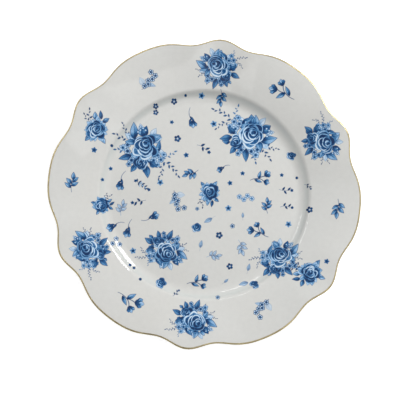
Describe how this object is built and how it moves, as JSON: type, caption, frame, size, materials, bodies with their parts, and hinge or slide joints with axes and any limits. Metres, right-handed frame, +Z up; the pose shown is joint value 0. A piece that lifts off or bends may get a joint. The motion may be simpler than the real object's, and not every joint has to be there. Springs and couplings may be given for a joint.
{
  "type": "dinner plate",
  "caption": "Round china dinner plate with a scalloped, gilt-edged rim, a shallow flat-floored well and a low bare foot ring.",
  "frame": {"origin": "centre of the foot ring's base, on the surface that the plate stands on", "axes": "+Z up, out of the well; +Y through the middle of a pointed lobe of the rim, which makes +X the middle of a broad lobe"},
  "size_m": [0.2702, 0.27, 0.025],
  "materials": {
    "porcelain": "fired white body, fine matt where the foot is left bare",
    "glaze": "clear glossy glaze on white, with blue floral prints",
    "gilding": "thin fired gold line, pale and slightly worn"
  },
  "bodies": {
    "root": {"porcelain_body": "porcelain", "top_glaze": "glaze", "underside_glaze": "glaze", "recess_glaze": "glaze", "gilt_edge": "gilding"}
  },
  "joints": []
}
